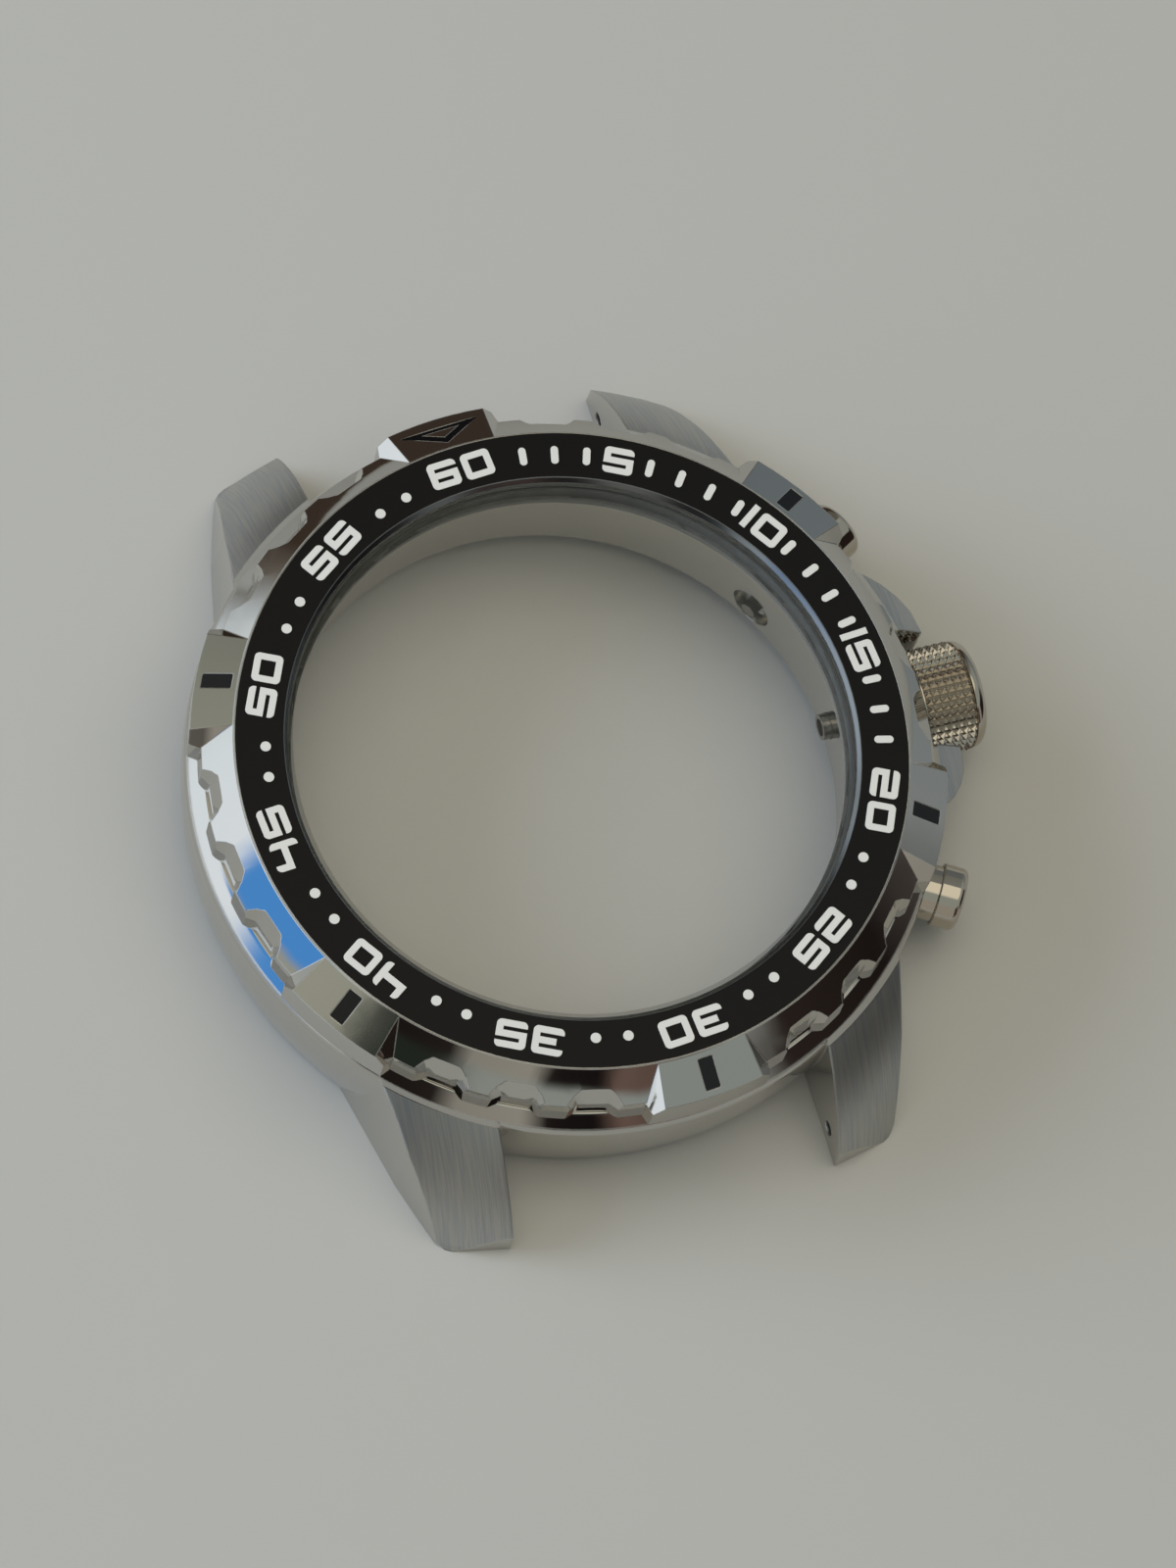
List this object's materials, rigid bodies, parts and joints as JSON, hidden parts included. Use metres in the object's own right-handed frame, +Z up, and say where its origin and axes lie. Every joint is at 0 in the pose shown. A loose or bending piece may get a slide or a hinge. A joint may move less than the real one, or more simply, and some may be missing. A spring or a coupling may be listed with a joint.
{
  "type": "watch case",
  "caption": "Empty steel chronograph watch case with a black turning minute bezel, crown, two pushers and four lugs, open at the back.",
  "frame": {"origin": "on the axis of the bezel and of the caseback bore, at the bore's mouth, level with the lug tips", "axes": "+Z up through the crystal, +Y to 12 o'clock, +X to the crown at 3 o'clock"},
  "size_m": [0.0491, 0.051, 0.0113],
  "materials": {
    "case_steel": "brushed lug tops, polished sides and inner walls",
    "bezel_steel": "polished, with satin block tops",
    "crown_steel": "polished",
    "stem_steel": "machined",
    "spring_steel": "drawn wire",
    "insert_black": "matte black anodised",
    "marks_white": "white raised print",
    "enamel_black": "gloss black fill",
    "seal_black": "matte",
    "crystal_glass": "clear, polished edge"
  },
  "bodies": {
    "case": {"mid_case": "case_steel", "crystal": "crystal_glass", "crystal_gasket": "seal_black", "bezel_gasket": "seal_black", "bezel_retaining_wire": "spring_steel", "click_balls": "spring_steel", "click_springs": "spring_steel", "crown_tube": "stem_steel", "upper_pusher_tube": "crown_steel", "upper_pusher_gaskets": "seal_black", "upper_pusher_washer": "stem_steel", "upper_pusher_spring": "spring_steel", "lower_pusher_tube": "crown_steel", "lower_pusher_gaskets": "seal_black", "lower_pusher_washer": "stem_steel", "lower_pusher_spring": "spring_steel"},
    "bezel": {"bezel_ring": "bezel_steel", "bezel_insert": "insert_black", "bezel_numerals": "marks_white", "bezel_minute_marks": "marks_white", "bezel_enamel": "enamel_black"},
    "crown_carriage": {"crown_gasket": "seal_black", "crown_washer": "stem_steel"},
    "crown_group": {"crown": "crown_steel", "crown_stem": "stem_steel"},
    "upper_pusher": {"upper_pusher_head": "crown_steel", "upper_pusher_stem": "stem_steel", "upper_pusher_clip": "spring_steel"},
    "lower_pusher": {"lower_pusher_head": "crown_steel", "lower_pusher_stem": "stem_steel", "lower_pusher_clip": "spring_steel"}
  },
  "joints": [
    {"name": "bezel_turn", "type": "hinge", "parent": "case", "child": "bezel", "pos_m": [0, 0, 0.0085], "axis": [0, 0, 1], "continuous": true},
    {"name": "crown_pull", "type": "slide", "parent": "case", "child": "crown_carriage", "axis": [1, 0, 0], "range_m": [0, 0.001]},
    {"name": "crown_turn", "type": "hinge", "parent": "crown_carriage", "child": "crown_group", "pos_m": [0.0235, 0, 0.0037], "axis": [1, 0, 0], "continuous": true},
    {"name": "upper_pusher_press", "type": "slide", "parent": "case", "child": "upper_pusher", "axis": [-0.8695, -0.4939, 0], "range_m": [0, 0.0008], "stiffness_N_per_m": 1500, "springref_m": -0.0008, "deforming": ["upper_pusher_spring"]},
    {"name": "lower_pusher_press", "type": "slide", "parent": "case", "child": "lower_pusher", "axis": [-0.8625, 0.506, 0], "range_m": [0, 0.0008], "stiffness_N_per_m": 1500, "springref_m": -0.0008, "deforming": ["lower_pusher_spring"]}
  ]
}
